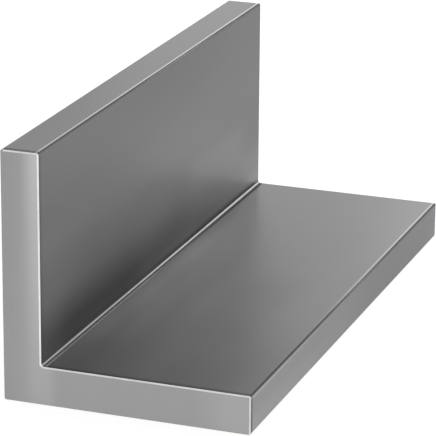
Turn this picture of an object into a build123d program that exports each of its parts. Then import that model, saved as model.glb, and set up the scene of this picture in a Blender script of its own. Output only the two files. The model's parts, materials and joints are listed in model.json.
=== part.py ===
from build123d import *
import os

# Metal angle section: one sawn length of equal-leg angle, drawn in a single piece.
#
# The base leg lies flat on the ground and reaches along +X.
# The upright leg rises along +Z from the heel, at the -X side.
# The stock runs along Y, from one sawn end to the other.
# The origin is at ground level, in the middle of the footprint.

# Driving dimensions, in millimetres
base_leg_width = 40.0  # heel to toe, along the ground
upright_leg_height = 40.0  # heel to toe, standing up
leg_thickness = 6.2  # one thickness of metal in both legs
piece_length = 100.0  # sawn end to sawn end
root_radius = 0.5  # inside corner, where the legs meet
edge_radius = 0.3  # heel and both edges of each toe, as the drawing die leaves them
end_break = 0.2  # bevel that a file leaves all around each sawn end

# Places across the section, from the middle of the footprint
heel_x = -base_leg_width / 2
toe_x = base_leg_width / 2
root_x = heel_x + leg_thickness


# The L outline, walked from the heel along the ground, with all its corners sharp
def sharp_section():
    outline = Polyline(
        (heel_x, 0),
        (toe_x, 0),
        (toe_x, leg_thickness),
        (root_x, leg_thickness),
        (root_x, upright_leg_height),
        (heel_x, upright_leg_height),
        close=True,
    )
    return make_face(outline)


# The section carried along its length, half to each side of the middle
def sawn_length():
    return extrude(Plane.XZ * sharp_section(), piece_length / 2, both=True)


# Both sawn ends stay flat, and the whole edge around each of them is bevelled
def with_broken_ends(bar):
    faces = bar.faces().sort_by(Axis.Y)
    near_end = faces[0]
    far_end = faces[-1]
    return chamfer(near_end.edges() + far_end.edges(), end_break)


# The six edges that run the full length of the bar, the one in the root first
def long_edges(bar):
    root_middle = (root_x, 0, leg_thickness)
    return bar.edges().filter_by(Axis.Y).sort_by_distance(root_middle)


# Rounded after the ends are bevelled, so that each round runs out on the bevels
def with_rounded_edges(bar):
    outside_edges = long_edges(bar)[1:]
    bar = fillet(outside_edges, edge_radius)
    root_edge = long_edges(bar)[0]
    return fillet(root_edge, root_radius)


angle_section = with_rounded_edges(with_broken_ends(sawn_length()))

os.makedirs("parts", exist_ok=True)
export_step(angle_section, "parts/angle_section.step")
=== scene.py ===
import bpy
import json
import math
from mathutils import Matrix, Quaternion, Vector


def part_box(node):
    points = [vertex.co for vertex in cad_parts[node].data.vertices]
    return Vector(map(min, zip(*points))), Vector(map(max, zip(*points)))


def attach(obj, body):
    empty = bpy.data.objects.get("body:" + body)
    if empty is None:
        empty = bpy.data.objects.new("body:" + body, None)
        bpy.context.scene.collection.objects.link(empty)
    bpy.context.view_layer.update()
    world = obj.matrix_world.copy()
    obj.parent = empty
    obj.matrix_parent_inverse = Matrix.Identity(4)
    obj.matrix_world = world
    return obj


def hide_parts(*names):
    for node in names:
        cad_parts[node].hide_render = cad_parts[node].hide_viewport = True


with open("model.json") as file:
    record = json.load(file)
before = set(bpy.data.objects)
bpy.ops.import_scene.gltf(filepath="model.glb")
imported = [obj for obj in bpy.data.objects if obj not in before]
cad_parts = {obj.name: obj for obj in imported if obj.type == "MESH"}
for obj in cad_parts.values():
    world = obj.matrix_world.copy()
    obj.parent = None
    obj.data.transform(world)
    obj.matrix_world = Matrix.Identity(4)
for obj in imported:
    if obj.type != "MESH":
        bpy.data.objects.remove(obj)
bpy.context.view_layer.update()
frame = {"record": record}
millimetre = 0.001


def addNode(tree, kind, **settings):
    node = tree.nodes.new(kind)
    for name, value in settings.items():
        setattr(node, name, value)
    return node


def feed(tree, socket, value):
    # another node's output is linked, and anything else is set on the socket
    if isinstance(value, bpy.types.NodeSocket):
        tree.links.new(value, socket)
    else:
        socket.default_value = value


def made(tree, kind, settings=None, **inputs):
    # a new node's first output, with the node's inputs given by name
    node = addNode(tree, kind, **(settings or {}))
    for label, value in inputs.items():
        feed(tree, node.inputs[label.replace("_", " ")], value)
    return node.outputs[0]


def passThrough(tree, kind, geometry, settings=None, **inputs):
    # the same for a node whose first input is a geometry, under any name
    output = made(tree, kind, settings, **inputs)
    feed(tree, output.node.inputs[0], geometry)
    return output


def calc(tree, operation, *values, clamp=False):
    node = addNode(tree, "ShaderNodeMath", operation=operation, use_clamp=clamp)
    for socket, value in zip(node.inputs, values):
        feed(tree, socket, value)
    return node.outputs[0]


def split(tree, vector):
    node = addNode(tree, "ShaderNodeSeparateXYZ")
    feed(tree, node.inputs[0], vector)
    return [node.outputs[axis] for axis in "XYZ"]


def newShapeTree(name, inputs):
    tree = bpy.data.node_groups.new(name, "GeometryNodeTree")
    for label, kind in inputs.items():
        tree.interface.new_socket(label, in_out="INPUT", socket_type="NodeSocket" + kind)
    tree.interface.new_socket("Geometry", in_out="OUTPUT", socket_type="NodeSocketGeometry")
    given = addNode(tree, "NodeGroupInput").outputs
    result = addNode(tree, "NodeGroupOutput").inputs["Geometry"]
    return tree, given, result


boxLow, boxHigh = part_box("angle_section")
mountPlaces = {mount["name"]: mount["pos_m"] for mount in frame["record"]["mounts"]}
angleSizes = {
    "Width": boxHigh.x - boxLow.x,
    "Height": boxHigh.z - boxLow.z,
    "Length": boxHigh.y - boxLow.y,
    "Thickness": mountPlaces["base_inner_face"][2],
    "Root Radius": 0.5 * millimetre,
    "Edge Radius": 0.3 * millimetre,
    "End Break": 0.2 * millimetre,
    "Arc Steps": 8,
}
sectionInputs = {label: "Float" for label in angleSizes}
sectionInputs["Arc Steps"] = "Int"
outlineSizes = [label for label in angleSizes if label not in ("Length", "End Break")]
cornerCount, rootCorner = 6, 3
rowCount = 4  # places along the bar where its section changes
weldDistance = 0.001 * millimetre
# what each face of the bar is, in the order of the finishes
skin, filedEdge, drawnEdge, rootFillet, sawnEnd = range(5)


def makeOutlineTree():
    # the L drawn flat in X and Y, walked anticlockwise from the heel, with its corners rounded
    inputs = {label: sectionInputs[label] for label in outlineSizes}
    tree, given, result = newShapeTree("angleOutline", {**inputs, "Inset": "Float"})
    inset = given["Inset"]
    toe = calc(tree, "SUBTRACT", calc(tree, "MULTIPLY", given["Width"], 0.5), inset)
    heel = calc(tree, "MULTIPLY", toe, -1.0)
    ledge = calc(tree, "SUBTRACT", given["Thickness"], inset)
    top = calc(tree, "SUBTRACT", given["Height"], inset)
    root = calc(tree, "MULTIPLY_ADD", given["Width"], -0.5, ledge)
    corners = [(heel, inset), (toe, inset), (toe, ledge), (root, ledge), (root, top), (heel, top)]

    index = made(tree, "GeometryNodeInputIndex")
    pick = addNode(tree, "GeometryNodeIndexSwitch", data_type="VECTOR")
    while len(pick.index_switch_items) < cornerCount:
        pick.index_switch_items.new()
    feed(tree, pick.inputs["Index"], index)
    for number, (across, up) in enumerate(corners):
        feed(tree, pick.inputs[number + 1], made(tree, "ShaderNodeCombineXYZ", X=across, Y=up))

    line = made(tree, "GeometryNodeMeshLine", Count=cornerCount)
    outline = passThrough(tree, "GeometryNodeMeshToCurve", line)
    outline = passThrough(tree, "GeometryNodeSetSplineCyclic", outline, Cyclic=True)
    outline = passThrough(tree, "GeometryNodeSetPosition", outline, Position=pick.outputs[0])

    # outside corners lose the inset from their radius, and the root gains it
    isRoot = calc(tree, "COMPARE", index, rootCorner, 0.5)
    outsideRadius = calc(tree, "SUBTRACT", given["Edge Radius"], inset)
    rootRadius = calc(tree, "ADD", given["Root Radius"], inset)
    difference = calc(tree, "SUBTRACT", rootRadius, outsideRadius)
    radius = calc(tree, "MULTIPLY_ADD", isRoot, difference, outsideRadius)
    outline = passThrough(tree, "GeometryNodeFilletCurve", outline, {"mode": "POLY"},
                          Count=given["Arc Steps"], Radius=radius)
    tree.links.new(outline, result)
    return tree


def markSurface(tree, geometry, kind):
    settings = {"data_type": "INT", "domain": "FACE"}
    return passThrough(tree, "GeometryNodeStoreNamedAttribute", geometry, settings,
                       Name="surface", Value=kind)


def makeSides(tree, given, fullOutline, endOutline, endPlace):
    # a sheet of points: one column for each outline point and one back at the start,
    # and one row for each place along the bar where its section changes
    cornerSteps = calc(tree, "ADD", given["Arc Steps"], 1.0)
    outlinePoints = calc(tree, "MULTIPLY", cornerSteps, cornerCount)
    columnCount = calc(tree, "ADD", outlinePoints, 1.0)
    sheet = made(tree, "GeometryNodeMeshGrid", Vertices_X=columnCount, Vertices_Y=rowCount)
    index = made(tree, "GeometryNodeInputIndex")
    column = calc(tree, "FLOOR", calc(tree, "DIVIDE", index, rowCount))
    row = calc(tree, "FLOORED_MODULO", index, rowCount)
    point = calc(tree, "FLOORED_MODULO", column, outlinePoints)

    # rows 0 and 3 lie in the sawn ends, rows 1 and 2 where the file marks stop
    fromMiddle = calc(tree, "SUBTRACT", row, (rowCount - 1) / 2)
    isEnd = calc(tree, "GREATER_THAN", calc(tree, "ABSOLUTE", fromMiddle), 1.0)
    filedPlace = calc(tree, "SUBTRACT", endPlace, given["End Break"])
    reach = calc(tree, "MULTIPLY_ADD", isEnd, given["End Break"], filedPlace)
    along = calc(tree, "MULTIPLY", calc(tree, "SIGN", fromMiddle), reach)
    position = made(tree, "GeometryNodeInputPosition")
    chosen = addNode(tree, "GeometryNodeSwitch", input_type="VECTOR")
    feed(tree, chosen.inputs["Switch"], isEnd)
    for label, outline in (("False", fullOutline), ("True", endOutline)):
        sampled = made(tree, "GeometryNodeSampleIndex", {"data_type": "FLOAT_VECTOR"},
                       Geometry=outline, Value=position, Index=point)
        feed(tree, chosen.inputs[label], sampled)
    flat = split(tree, chosen.outputs[0])
    place = made(tree, "ShaderNodeCombineXYZ", X=flat[0], Y=along, Z=flat[1])
    sides = passThrough(tree, "GeometryNodeSetPosition", sheet, Position=place)

    # which surface each face belongs to
    faceRows = rowCount - 1
    faceColumn = calc(tree, "FLOOR", calc(tree, "DIVIDE", index, faceRows))
    faceRow = calc(tree, "FLOORED_MODULO", index, faceRows)
    fromMiddleRow = calc(tree, "ABSOLUTE", calc(tree, "SUBTRACT", faceRow, 1.0))
    isFiled = calc(tree, "COMPARE", fromMiddleRow, 1.0, 0.5)
    isPlain = calc(tree, "SUBTRACT", 1.0, isFiled)
    stepInCorner = calc(tree, "FLOORED_MODULO", faceColumn, cornerSteps)
    isArc = calc(tree, "LESS_THAN", stepInCorner, calc(tree, "SUBTRACT", given["Arc Steps"], 0.5))
    corner = calc(tree, "FLOOR", calc(tree, "DIVIDE", faceColumn, cornerSteps))
    isRoot = calc(tree, "COMPARE", corner, rootCorner, 0.5)
    roundKind = calc(tree, "MULTIPLY_ADD", isRoot, rootFillet - drawnEdge, drawnEdge)
    plainKind = calc(tree, "MULTIPLY", isArc, roundKind)
    filedKind = calc(tree, "MULTIPLY", isFiled, filedEdge)
    sides = markSurface(tree, sides, calc(tree, "MULTIPLY_ADD", isPlain, plainKind, filedKind))
    isSmooth = calc(tree, "MULTIPLY", isPlain, isArc)
    return passThrough(tree, "GeometryNodeSetShadeSmooth", sides, Shade_Smooth=isSmooth)


def makeCap(tree, outline, along, isFlipped):
    cap = passThrough(tree, "GeometryNodeFillCurve", outline, {"mode": "NGONS"})
    shift = made(tree, "ShaderNodeCombineXYZ", Y=along)
    cap = passThrough(tree, "GeometryNodeTransform", cap, Translation=shift,
                      Rotation=(math.pi / 2, 0, 0))
    if isFlipped:
        cap = passThrough(tree, "GeometryNodeFlipFaces", cap)
    cap = markSurface(tree, cap, sawnEnd)
    return passThrough(tree, "GeometryNodeSetShadeSmooth", cap, Shade_Smooth=False)


def makeSectionTree(materials):
    tree, given, result = newShapeTree("angleSection", sectionInputs)
    outlineTree = makeOutlineTree()
    outlines = []
    for inset in (0.0, given["End Break"]):
        node = addNode(tree, "GeometryNodeGroup", node_tree=outlineTree)
        for label in outlineSizes:
            feed(tree, node.inputs[label], given[label])
        feed(tree, node.inputs["Inset"], inset)
        outlines.append(node.outputs["Geometry"])

    # both sawn ends fill the smaller outline
    endPlace = calc(tree, "MULTIPLY", given["Length"], 0.5)
    joined = addNode(tree, "GeometryNodeJoinGeometry")
    tree.links.new(makeSides(tree, given, *outlines, endPlace), joined.inputs[0])
    for side in (-1, 1):
        along = calc(tree, "MULTIPLY", endPlace, side)
        tree.links.new(makeCap(tree, outlines[1], along, side > 0), joined.inputs[0])
    shape = passThrough(tree, "GeometryNodeMergeByDistance", joined.outputs[0], Distance=weldDistance)
    shape = passThrough(tree, "GeometryNodeRealizeInstances", shape)

    surface = made(tree, "GeometryNodeInputNamedAttribute", {"data_type": "INT"}, Name="surface")
    for number, material in enumerate(materials):
        isThis = calc(tree, "COMPARE", surface, number, 0.5)
        shape = passThrough(tree, "GeometryNodeSetMaterial", shape, Selection=isThis,
                            Material=material)
    tree.links.new(shape, result)
    return tree


def makeAngleSection(materials):
    host = bpy.data.objects.new("angleHost", bpy.data.meshes.new("angleHost"))
    bpy.context.scene.collection.objects.link(host)
    modifier = host.modifiers.new("angleSection", "NODES")
    modifier.node_group = makeSectionTree(materials)
    sockets = {item.name: item.identifier for item in modifier.node_group.interface.items_tree
               if item.in_out == "INPUT"}
    for label, value in angleSizes.items():
        modifier[sockets[label]] = value
    evaluated = host.evaluated_get(bpy.context.evaluated_depsgraph_get())
    mesh = bpy.data.meshes.new_from_object(evaluated)
    mesh.name = "drawnAngle"
    bpy.data.objects.remove(host)
    piece = bpy.data.objects.new("drawnAngle", mesh)
    bpy.context.scene.collection.objects.link(piece)
    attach(piece, "root")
    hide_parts("angle_section")
    return piece


# the finishes work in millimetres, from the middle of the bar along X and Y and up from its foot
halfWidth = angleSizes["Width"] / 2 / millimetre
halfLength = angleSizes["Length"] / 2 / millimetre
fullHeight = angleSizes["Height"] / millimetre
legThickness = angleSizes["Thickness"] / millimetre
edgeRadius = angleSizes["Edge Radius"] / millimetre
rootX = legThickness - halfWidth


def placeInMillimetres(tree):
    scaled = addNode(tree, "ShaderNodeVectorMath", operation="SCALE")
    feed(tree, scaled.inputs[0], addNode(tree, "ShaderNodeTexCoord").outputs["Object"])
    feed(tree, scaled.inputs["Scale"], 1 / millimetre)
    return scaled.outputs[0], *split(tree, scaled.outputs[0])


def ramp(tree, value, start, end, low=0.0, high=1.0):
    # low before start, high after end, and smooth between them
    node = addNode(tree, "ShaderNodeMapRange", interpolation_type="SMOOTHSTEP")
    for label, given in zip(["Value", "From Min", "From Max", "To Min", "To Max"],
                            [value, start, end, low, high]):
        feed(tree, node.inputs[label], given)
    return node.outputs[0]


def alongBar(tree, y, nearEnd, farEnd):
    return ramp(tree, y, -halfLength, halfLength, nearEnd, farEnd)


def mixed(tree, mask, off, on):
    return ramp(tree, mask, 0.0, 1.0, off, on)


def within(tree, value, start=None, full=None, fade=None, gone=None):
    # 0 before start, 1 from full to fade and 0 past gone, and a side left out is open
    mask = 1.0 if full is None else ramp(tree, value, start, full)
    if gone is None:
        return mask
    return calc(tree, "MULTIPLY", mask, ramp(tree, value, fade, gone, 1.0, 0.0))


def band(tree, value, start, end, soft):
    # 1 between start and end, with soft borders
    return within(tree, value, start - soft, start + soft, end - soft, end + soft)


def changed(tree, tone, mask, amount):
    # tone times one plus the amount, where the mask is 1
    if isinstance(amount, bpy.types.NodeSocket):
        mask, amount = calc(tree, "MULTIPLY", mask, amount), 1.0
    return calc(tree, "MULTIPLY", tone, calc(tree, "MULTIPLY_ADD", mask, amount, 1.0))


def grain(tree, place, pattern):
    # soft noise about 0, with the size of its marks along X, Y and Z,
    # or spots of 1 on 0 where the pattern gives the levels at their borders
    stretched = addNode(tree, "ShaderNodeVectorMath", operation="DIVIDE")
    feed(tree, stretched.inputs[0], place)
    feed(tree, stretched.inputs[1], pattern["marks"])
    noise = made(tree, "ShaderNodeTexNoise", {"noise_dimensions": "4D"}, Scale=1.0,
                 Vector=stretched.outputs[0], W=pattern["seed"], Detail=pattern["detail"])
    level = calc(tree, "SUBTRACT", noise, 0.5)
    return ramp(tree, level, *pattern["spots"]) if "spots" in pattern else level


def newFinish(name, grazing=1.0):
    material = bpy.data.materials.new(name)
    material.use_nodes = True
    tree = material.node_tree
    shader = tree.nodes["Principled BSDF"]
    shader.inputs["Metallic"].default_value = 1.0
    shader.inputs["Specular Tint"].default_value = (grazing, grazing, grazing, 1.0)
    return material, tree, shader


def paint(tree, shader, tone, grey, roughness):
    feed(tree, shader.inputs["Base Color"], calc(tree, "MULTIPLY", tone, grey, clamp=True))
    feed(tree, shader.inputs["Roughness"], roughness)


def addRelief(tree, shader, height, depth):
    bump = made(tree, "ShaderNodeBump", Distance=depth * millimetre, Height=height)
    feed(tree, shader.inputs["Normal"], bump)


openStart = (None, None)  # limits that begin with this are open at their low end
skinLook = {
    "grey": 0.28,
    "grazing": 0.43,
    "uprightRoughness": (0.3125, 0.34),  # in the inside corner and away from it
    "baseRoughness": (0.29, 0.4),
    "cornerReach": 22,
    "roughnessClouds": 0.03,
    "baseDust": 0.2,  # dust on the lying face scatters a little light
    "relief": 0.001,
    "reliefFineLines": 0.4,
    # noise: the size of its marks along X, Y and Z in mm, and how much it changes the tone
    "grains": {
        "dieLines": {"marks": (0.45, 70, 0.45), "seed": 1.3, "detail": 3.0, "amount": 0.04},
        "fineLines": {"marks": (0.14, 22, 0.14), "seed": 4.1, "detail": 2.0, "amount": 0.03},
        "clouds": {"marks": (7, 24, 7), "seed": 7.7, "detail": 2.0, "amount": 0.08},
        "specks": {"marks": (0.3, 0.5, 0.3), "seed": 2.9, "detail": 1.0, "spots": (0.2, 0.27),
                   "amount": -0.12},
    },
    # the heel side and the underside slid over other stock
    "rubs": {
        "streaks": {"marks": (1.4, 120, 1.4), "seed": 11.2, "detail": 3.0, "amount": 0.15},
        "scuffs": {"marks": (4, 15, 4), "seed": 12.6, "detail": 4.0, "spots": (0.05, 0.2),
                   "amount": 0.045},
    },
    # painted light and shade: each face is a little lighter or darker than the next
    "faceShading": {"inside": 0.06, "upper": -0.04, "top": 0.26, "toe": 0.4},
    # a wavering line of painted shade beside the near filed end: full to the first distance from the
    # end in mm, gone at the second, and how dark
    "endShadeLine": {
        "inside": (0.3, 1.5, -0.25),
        "upper": (0.3, 1.6, -0.5),
        "top": (0.9, 1.5, -0.42),
        "toe": (0.3, 1.3, -0.6),
    },
    "endShadeLineWaver": {"marks": (2, 2, 2), "seed": 5.5, "detail": 2.0, "amount": 0.4},
    # painted highlights and painted shade along the drawn edges: the face, how much
    # lighter or darker the line is (a pair is for the near end and the far end), and where it
    # starts to show, is full, starts to fade and is gone along x, y and z, in mm; limits that
    # give only the first two go on to the end of the face
    "edgeHighlightsAndShade": {
        "topEdgeHighlight": {
            "face": "top", "tone": (0.95, 1.0),
            "x": (rootX - 0.74, rootX - 0.58, rootX - 0.4, rootX - 0.24),
        },
        "toeEdgeHighlight": {
            "face": "toe", "tone": 0.36, "y": (*openStart, -45, 0),
            "z": (legThickness - 0.7, legThickness - 0.54,
                  legThickness - 0.42, legThickness - 0.26),
        },
        "upperEdgeHighlight": {
            "face": "upper", "tone": 0.8, "y": (-24, 12),
            "x": (halfWidth - 0.7, halfWidth - 0.54, halfWidth - 0.38, halfWidth - 0.22),
        },
        "rootEdgeHighlight": {
            "face": "upper", "tone": 3.3, "y": (*openStart, -42, 6),
            "x": (rootX + 0.44, rootX + 0.64, rootX + 0.7, rootX + 0.9),
        },
        "rootShade": {
            "face": "upper", "tone": -0.7, "glancing": -0.7, "y": (-10, 45),
            "x": (*openStart, rootX + 0.6, rootX + 1.1),
        },
        "footShade": {
            "face": "inside", "tone": -0.15,
            "z": (*openStart, legThickness + 0.6, legThickness + 1.6),
        },
    },
    # soft areas of painted light and painted shade, given in the same way; glancing changes
    # how bright the face is where it is seen at a glancing angle
    "shadingPatches": {
        "upperNearShade": {"face": "upper", "tone": -0.24, "x": (-17, 0), "y": (*openStart, -50, -12)},
        "upperNearToeShade": {
            "face": "upper", "tone": -0.17, "x": (1, 8, 13, 20), "y": (*openStart, -50, 0),
        },
        "upperMiddleShade": {"face": "upper", "tone": -0.1, "x": (-1, 4, 9, 14), "y": (-38, -24, -8, 8)},
        "upperFarLight": {"face": "upper", "tone": 0.06, "y": (-10, 45)},
        "upperCornerLight": {
            "face": "upper", "tone": 0.52, "glancing": 0.38,
            "x": (*openStart, -13.8, -3), "y": (-64, -34, -16, 36),
        },
        "upperRootLight": {
            "face": "upper", "tone": 0.48, "glancing": 0.22,
            "x": (*openStart, -12.2, -8), "y": (-62, -26, 4, 30),
        },
        "upperNearRootLight": {
            "face": "upper", "tone": 0.13, "x": (*openStart, -10, -3), "y": (-40, -28, -16, 2),
        },
        "insideLipShade": {"face": "inside", "tone": -0.145, "y": (*openStart, 0, 75), "z": (24, 40)},
        "insideCornerShade": {
            "face": "inside", "tone": -0.43, "glancing": -0.475,
            "y": (-64, -38, -6, 44), "z": (*openStart, 8, 16),
        },
        "insideNearShade": {
            "face": "inside", "tone": -0.1, "glancing": -0.12,
            "y": (-50, -34, -18, -2), "z": (*openStart, 14, 20),
        },
        "insideMiddleFootLight": {
            "face": "inside", "tone": 0.07, "y": (-14, -4, 12, 22), "z": (*openStart, 10, 14.5),
        },
        "insideFootShade": {
            "face": "inside", "tone": -0.05, "y": (-46, -36, -26, -16), "z": (8, 10.5, 12.5, 16),
        },
        "insideNearCornerShade": {
            "face": "inside", "tone": -0.1, "y": (*openStart, -48, -42), "z": (*openStart, 8, 11),
        },
        "insideFarCornerLight": {
            "face": "inside", "tone": 0.085, "y": (38, 47), "z": (*openStart, 7.5, 10.5),
        },
        "insideFarFootLight": {
            "face": "inside", "tone": 0.15, "glancing": 0.05,
            "y": (36, 48), "z": (*openStart, 11, 16),
        },
        "insideMiddleLight": {
            "face": "inside", "tone": 0.135, "y": (*openStart, -10, 38), "z": (12, 19, 22, 31),
        },
        "insideFarLight": {
            "face": "inside", "tone": 0.1, "glancing": 0.05,
            "y": (8, 20, 36, 46), "z": (8, 11, 17, 22),
        },
        "insideNearLight": {
            "face": "inside", "tone": 0.13, "y": (*openStart, -50, -28), "z": (9, 16, 22, 30),
        },
        "toeNearLight": {"face": "toe", "tone": 0.06, "y": (*openStart, -50, -12)},
        "toeMiddleShade": {"face": "toe", "tone": -0.095, "y": (-10, 14, 40, 54)},
        "toeFootLight": {
            "face": "toe", "tone": 0.1, "y": (*openStart, -32, 12), "z": (*openStart, 1.5, 4.2),
        },
        "topFarLight": {"face": "top", "tone": 0.1, "y": (0, 55)},
    },
}


def findFaces(tree, x, z):
    # a mask for each face that shows its own marks, full on the face and gone just off it
    close, off = 0.02, 0.1
    top = ramp(tree, z, fullHeight - off, fullHeight - close)
    toe = ramp(tree, x, halfWidth - off, halfWidth - close)
    heel = ramp(tree, x, close - halfWidth, off - halfWidth, 1.0, 0.0)
    bottom = ramp(tree, z, close, off, 1.0, 0.0)
    pastRoot = ramp(tree, x, rootX - 2 * off, rootX)
    upper = calc(tree, "MULTIPLY", pastRoot,
                 band(tree, z, legThickness - off, legThickness + off, off / 2))
    aboveRoot = ramp(tree, z, legThickness + off, legThickness + 3 * off)
    inside = calc(tree, "MULTIPLY", aboveRoot, band(tree, x, rootX - off, rootX + off, off / 2))
    inside = calc(tree, "MULTIPLY", inside, calc(tree, "SUBTRACT", 1.0, top))
    rubbed = calc(tree, "MAXIMUM", heel, bottom)
    return {"inside": inside, "upper": upper, "top": top, "toe": toe, "rubbed": rubbed}


def makeSkin():
    look = skinLook
    material, tree, shader = newFinish("drawnSkin")
    place, x, y, z = placeInMillimetres(tree)
    faces = findFaces(tree, x, z)
    grains = {name: grain(tree, place, pattern) for name, pattern in look["grains"].items()}
    tone = 1.0
    for name, pattern in look["grains"].items():
        tone = changed(tree, tone, grains[name], pattern["amount"])
    for pattern in look["rubs"].values():
        rub = calc(tree, "MULTIPLY", faces["rubbed"], grain(tree, place, pattern))
        tone = changed(tree, tone, rub, pattern["amount"])

    # the painted shade line beside the near end, wavering
    waver = look["endShadeLineWaver"]
    fromEnd = calc(tree, "ADD", y, halfLength)
    fromEnd = calc(tree, "MULTIPLY_ADD", grain(tree, place, waver), waver["amount"], fromEnd)
    for face, (full, gone, amount) in look["endShadeLine"].items():
        line = calc(tree, "MULTIPLY", faces[face], ramp(tree, fromEnd, full, gone, 1.0, 0.0))
        tone = changed(tree, tone, line, amount)
    # painted light and shade, face by face
    for face, amount in look["faceShading"].items():
        tone = changed(tree, tone, faces[face], amount)

    grazing = look["grazing"]
    # painted highlights and painted shade along the edges and in soft areas of each face
    for mark in [*look["edgeHighlightsAndShade"].values(), *look["shadingPatches"].values()]:
        mask, amount = faces[mark["face"]], mark["tone"]
        for axis, value in zip("xyz", (x, y, z)):
            if axis in mark:
                mask = calc(tree, "MULTIPLY", mask, within(tree, value, *mark[axis]))
        if isinstance(amount, tuple):
            amount = alongBar(tree, y, *amount)
        tone = changed(tree, tone, mask, amount)
        if "glancing" in mark:
            grazing = changed(tree, grazing, mask, mark["glancing"])
    feed(tree, shader.inputs["Specular Tint"], grazing)

    # the inside corner is less scuffed than the rest of its two faces
    reach = look["cornerReach"]
    upright = ramp(tree, z, legThickness, legThickness + reach, *look["uprightRoughness"])
    base = ramp(tree, x, rootX, rootX + reach, *look["baseRoughness"])
    rough = mixed(tree, faces["inside"], look["uprightRoughness"][1], upright)
    rough = mixed(tree, calc(tree, "MAXIMUM", faces["upper"], faces["toe"]), rough, base)
    rough = calc(tree, "MULTIPLY_ADD", grains["clouds"], look["roughnessClouds"], rough)
    paint(tree, shader, tone, look["grey"], rough)
    feed(tree, shader.inputs["Metallic"], mixed(tree, faces["upper"], 1.0, 1.0 - look["baseDust"]))
    relief = calc(tree, "MULTIPLY", grains["fineLines"], look["reliefFineLines"])
    addRelief(tree, shader, calc(tree, "ADD", relief, grains["dieLines"]), look["relief"])
    return material


filedLook = {
    # grey of the bevel beside each face of the bar: a painted highlight beside the inside, upper, top
    # and toe faces, and darker beside the heel
    "heel": 0.2,
    "bottom": 0.28,
    "inside": 0.9,
    "upper": 0.66,
    "top": 0.66,
    "toe": 0.72,
    "meet": 0.1,  # two greys meet over this way, in mm
    "roughness": 0.35,
    "uneven": {"marks": (1.5, 1.5, 1.5), "seed": 3.3, "detail": 3.0, "amount": 0.4},
}


def makeFiledEdge():
    look = filedLook
    material, tree, shader = newFinish("filedEdge")
    place, x, y, z = placeInMillimetres(tree)
    meet, heelEnd, toeStart = look["meet"], edgeRadius - halfWidth, halfWidth - edgeRadius
    baseTop, topStart = legThickness - edgeRadius, fullHeight - edgeRadius
    # painted highlight on the bevels, lighter or darker by the face beside them
    lying = ramp(tree, z, baseTop - meet, baseTop, look["bottom"], look["upper"])
    lying = ramp(tree, x, toeStart, toeStart + meet, lying, look["toe"])
    upright = ramp(tree, z, topStart, topStart + meet, look["inside"], look["top"])
    grey = ramp(tree, z, legThickness, legThickness + edgeRadius)
    grey = mixed(tree, grey, lying, upright)
    grey = ramp(tree, x, heelEnd, heelEnd + 2 * meet, look["heel"], grey)
    tone = changed(tree, 1.0, grain(tree, place, look["uneven"]), look["uneven"]["amount"])
    paint(tree, shader, tone, grey, look["roughness"])
    return material


drawnEdgeLook = {
    # grey of each rounded edge that runs along the bar
    "heelGrey": 0.28,
    "bottomGrey": 0.4,
    # the upward half of the inside edge and of the toe edge is painted shade
    "insidePaintedShade": (0.11, 0.065),  # at the near end and at the far end
    "toePaintedShade": (0.085, 0.095),
    "insideLight": 0.2,
    "toeLight": 0.26,
    "darkDepth": (0.06, 0.22),  # how far below the face it is still dark, and where it is light
    # where one edge's grey gives way to the next, in the flat faces between them, in mm
    "toeBorder": (0, 1),
    "heelBorder": (rootX - 1.5, rootX - 1),
    "bottomBorder": (1, 1.5),
    "grazing": 0.5,
    "roughness": 0.4,
    "uneven": {"marks": (1.0, 9.0, 1.0), "seed": 6.1, "detail": 3.0, "amount": 0.4},
}


def makeDrawnEdge():
    look = drawnEdgeLook
    material, tree, shader = newFinish("drawnEdge", look["grazing"])
    place, x, y, z = placeInMillimetres(tree)
    depths = [calc(tree, "ABSOLUTE", calc(tree, "SUBTRACT", z, level))
              for level in (fullHeight, legThickness)]
    # painted shade on the upward half of the inside and toe edges, changing along the bar
    upward = ramp(tree, calc(tree, "MINIMUM", *depths), *look["darkDepth"], 1.0, 0.0)
    inside = mixed(tree, upward, look["insideLight"], alongBar(tree, y, *look["insidePaintedShade"]))
    toe = mixed(tree, upward, look["toeLight"], alongBar(tree, y, *look["toePaintedShade"]))
    grey = ramp(tree, x, *look["toeBorder"], inside, toe)
    grey = ramp(tree, x, *look["heelBorder"], look["heelGrey"], grey)
    grey = ramp(tree, z, *look["bottomBorder"], look["bottomGrey"], grey)
    tone = changed(tree, 1.0, grain(tree, place, look["uneven"]), look["uneven"]["amount"])
    paint(tree, shader, tone, grey, look["roughness"])
    return material


rootLook = {
    "highlightGrey": 0.36,  # a painted highlight along the middle of the fillet
    # painted shade on both sides of the highlight
    "sideShadeGrey": 0.1,
    "lineWidth": 0.32,
    "lineShift": -0.06,
    "lineSoft": 0.06,
    # the painted highlight is brighter towards both ends: by how much, and between which places along
    # Y
    "nearTone": 1.2,
    "nearReach": (-35, -5),
    "farTone": 1.5,
    "farReach": (5, 40),
    "grazing": 0.5,
    "roughness": 0.5,
    "uneven": {"marks": (1.0, 9.0, 1.0), "seed": 9.2, "detail": 3.0, "amount": 0.3},
}


def makeRoot():
    look = rootLook
    material, tree, shader = newFinish("rootFillet", look["grazing"])
    place, x, y, z = placeInMillimetres(tree)
    # how far round the fillet, from the upright side to the base side, in mm
    around = calc(tree, "ADD", calc(tree, "SUBTRACT", x, z), legThickness - rootX)
    half, shift = look["lineWidth"] / 2, look["lineShift"]
    # a painted highlight band along the fillet, with painted shade on both sides
    line = band(tree, around, shift - half, shift + half, look["lineSoft"])
    grey = mixed(tree, line, look["sideShadeGrey"], look["highlightGrey"])
    tone = changed(tree, 1.0, grain(tree, place, look["uneven"]), look["uneven"]["amount"])
    tone = calc(tree, "MULTIPLY", tone, ramp(tree, y, *look["nearReach"], look["nearTone"], 1.0))
    tone = calc(tree, "MULTIPLY", tone, ramp(tree, y, *look["farReach"], 1.0, look["farTone"]))
    paint(tree, shader, tone, grey, look["roughness"])
    return material


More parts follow.
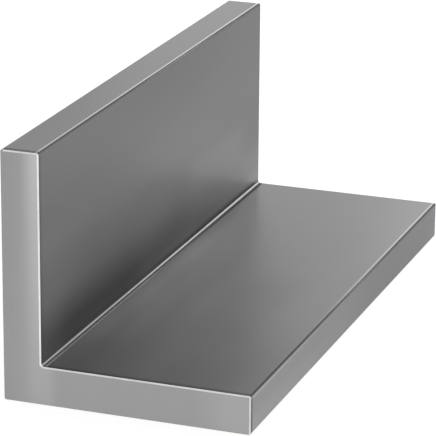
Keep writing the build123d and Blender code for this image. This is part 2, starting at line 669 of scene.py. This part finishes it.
sawnLook = {
    "grey": 0.335,
    "roughness": 0.4,
    "relief": 0.003,
    "sawMarks": {"marks": (0.25, 1.0, 14), "seed": 8.4, "detail": 3.0, "amount": 0.06},
    "clouds": {"marks": (4, 4, 9), "seed": 1.9, "detail": 2.0, "amount": 0.05},
    # painted light: the face is lighter away from the heel
    "lightAwayFromHeel": 0.045,
    "heelBorder": (rootX - 5.4, rootX - 2.9),
    # a band of painted highlight runs down beside the inside corner and fades on the way
    "bandOfHighlightFoot": 0.125,
    "bandOfHighlightTop": 0.5,
    "bandOfHighlight": (rootX - 3.5, rootX - 0.4, rootX + 0.8, rootX + 3.3),
    # painted light towards the toe
    "lightTowardsToe": 0.14,
    "toeBorder": (halfWidth - 10, halfWidth - 2.5),
}


def makeSawnEnd():
    look = sawnLook
    material, tree, shader = newFinish("sawnEnd")
    place, x, y, z = placeInMillimetres(tree)
    sawMarks = grain(tree, place, look["sawMarks"])
    tone = changed(tree, 1.0, sawMarks, look["sawMarks"]["amount"])
    tone = changed(tree, tone, grain(tree, place, look["clouds"]), look["clouds"]["amount"])
    # painted light away from the heel and towards the toe, and a painted highlight band beside the
    # inside corner
    tone = changed(tree, tone, ramp(tree, x, *look["heelBorder"]), look["lightAwayFromHeel"])
    tone = changed(tree, tone, ramp(tree, x, *look["toeBorder"]), look["lightTowardsToe"])
    rise = made(tree, "ShaderNodeMapRange", Value=z, From_Max=fullHeight,
                To_Min=look["bandOfHighlightFoot"], To_Max=look["bandOfHighlightTop"])
    tone = changed(tree, tone, within(tree, x, *look["bandOfHighlight"]), rise)
    paint(tree, shader, tone, look["grey"], look["roughness"])
    addRelief(tree, shader, sawMarks, look["relief"])
    return material


finishes = [makeSkin(), makeFiledEdge(), makeDrawnEdge(), makeRoot(), makeSawnEnd()]
print("finishes:", ", ".join(finish.name for finish in finishes))
angle = makeAngleSection(finishes)
print("angle section:", len(angle.data.polygons), "faces", len(angle.data.vertices), "points")


stageSizes = {
    "floorSize": 6.0,
    "floorHeight": -0.00005,  # just under the bar, so that the two faces don't flicker
    "floorGlow": 0.85,
    "floorColour": (0.3, 0.3, 0.3, 1.0),
    "skyForEye": 1.0,
    "skyForDiffuse": 0.6,
}


def seenByEye(tree):
    # 1 for what the camera sees straight on, mirrored or through glass
    path = addNode(tree, "ShaderNodeLightPath").outputs
    seen = calc(tree, "MAXIMUM", path["Is Camera Ray"], path["Is Glossy Ray"])
    return calc(tree, "MAXIMUM", seen, path["Is Transmission Ray"])


def makeWorld():
    world = bpy.data.worlds.new("paleStudio")
    bpy.context.scene.world = world
    world.use_nodes = True
    # rays that sample the world as a lamp would miss the strength that mirrored views see
    world.cycles.sampling_method = "NONE"
    tree = world.node_tree
    background = tree.nodes["Background"]
    background.inputs["Color"].default_value = (1, 1, 1, 1)
    span = stageSizes["skyForEye"] - stageSizes["skyForDiffuse"]
    strength = calc(tree, "MULTIPLY_ADD", seenByEye(tree), span, stageSizes["skyForDiffuse"])
    feed(tree, background.inputs["Strength"], strength)


def makeFloor():
    half, height = stageSizes["floorSize"] / 2, stageSizes["floorHeight"]
    corners = [(-half, -half), (half, -half), (half, half), (-half, half)]
    mesh = bpy.data.meshes.new("paleFloor")
    mesh.from_pydata([(x, y, height) for x, y in corners], [], [(0, 1, 2, 3)])
    floor = bpy.data.objects.new("paleFloor", mesh)
    bpy.context.scene.collection.objects.link(floor)
    material = bpy.data.materials.new("paleFloor")
    material.use_nodes = True
    tree = material.node_tree
    shader = tree.nodes["Principled BSDF"]
    shader.inputs["Base Color"].default_value = stageSizes["floorColour"]
    shader.inputs["Roughness"].default_value = 1.0
    shader.inputs["Specular IOR Level"].default_value = 0.0
    shader.inputs["Emission Color"].default_value = (1, 1, 1, 1)
    glow = calc(tree, "MULTIPLY", seenByEye(tree), stageSizes["floorGlow"])
    feed(tree, shader.inputs["Emission Strength"], glow)
    mesh.materials.append(material)


lampSizes = {
    "aim": (0, 0.02, 0.01),
    "barMiddle": (0, 0, 0.01),
    # a strength of 1 lights the middle of the bar as brightly as white does
    "lamps": {
        "main": {"place": (0.0467, 0.28, 0.1244), "size": 0.09, "strength": 0.21},
        "middle": {"place": (0.0, 0.15, 0.0667), "size": 0.04, "strength": 0.031},
        "farLeft": {"place": (-0.0933, 0.28, 0.0778), "size": 0.09, "strength": 0.012},
        "nearLeft": {"place": (-0.07, 0.18, 0.11), "size": 0.05, "strength": 0.008},
    },
}


def makeLamps():
    aim, middle = Vector(lampSizes["aim"]), Vector(lampSizes["barMiddle"])
    for name, lamp in lampSizes["lamps"].items():
        place = Vector(lamp["place"])
        data = bpy.data.lights.new(name, "AREA")
        data.shape = "SQUARE"
        data.size = lamp["size"]
        data.energy = (math.pi * (place - middle).length) ** 2 * lamp["strength"]
        light = bpy.data.objects.new(name, data)
        light.location = place
        light.rotation_mode = "QUATERNION"
        light.rotation_quaternion = (place - aim).to_track_quat("Z", "Y")
        light.visible_camera = False
        bpy.context.scene.collection.objects.link(light)


makeWorld()
makeFloor()
makeLamps()
print("floor, background and", len(lampSizes["lamps"]), "lamps")


cameraSizes = {
    "azimuth": 19.957,  # from the front of the near sawn end towards +X, in degrees
    "elevation": 18.233,
    "roll": 0.432,
    "distance": 0.4599,
    "target": (-0.00227, -0.00342, 0.0171),
    "lens": 231.39,
    "sensor": 36.0,
    "clip": (0.01, 100),
}


def makeCamera():
    data = bpy.data.cameras.new("studioCamera")
    data.sensor_width = cameraSizes["sensor"]
    data.lens = cameraSizes["lens"]
    data.clip_start, data.clip_end = cameraSizes["clip"]
    turn, lift = math.radians(cameraSizes["azimuth"]), math.radians(cameraSizes["elevation"])
    level = math.cos(lift)
    back = Vector((math.sin(turn) * level, -math.cos(turn) * level, math.sin(lift)))
    roll = Quaternion((0, 0, 1), math.radians(cameraSizes["roll"]))
    camera = bpy.data.objects.new("studioCamera", data)
    camera.location = Vector(cameraSizes["target"]) + back * cameraSizes["distance"]
    camera.rotation_mode = "QUATERNION"
    camera.rotation_quaternion = back.to_track_quat("Z", "Y") @ roll
    bpy.context.scene.collection.objects.link(camera)
    bpy.context.scene.camera = camera


makeCamera()
bpy.context.scene.view_settings.view_transform = "Standard"
print("camera:", cameraSizes["lens"], "mm lens,", cameraSizes["distance"], "m away")
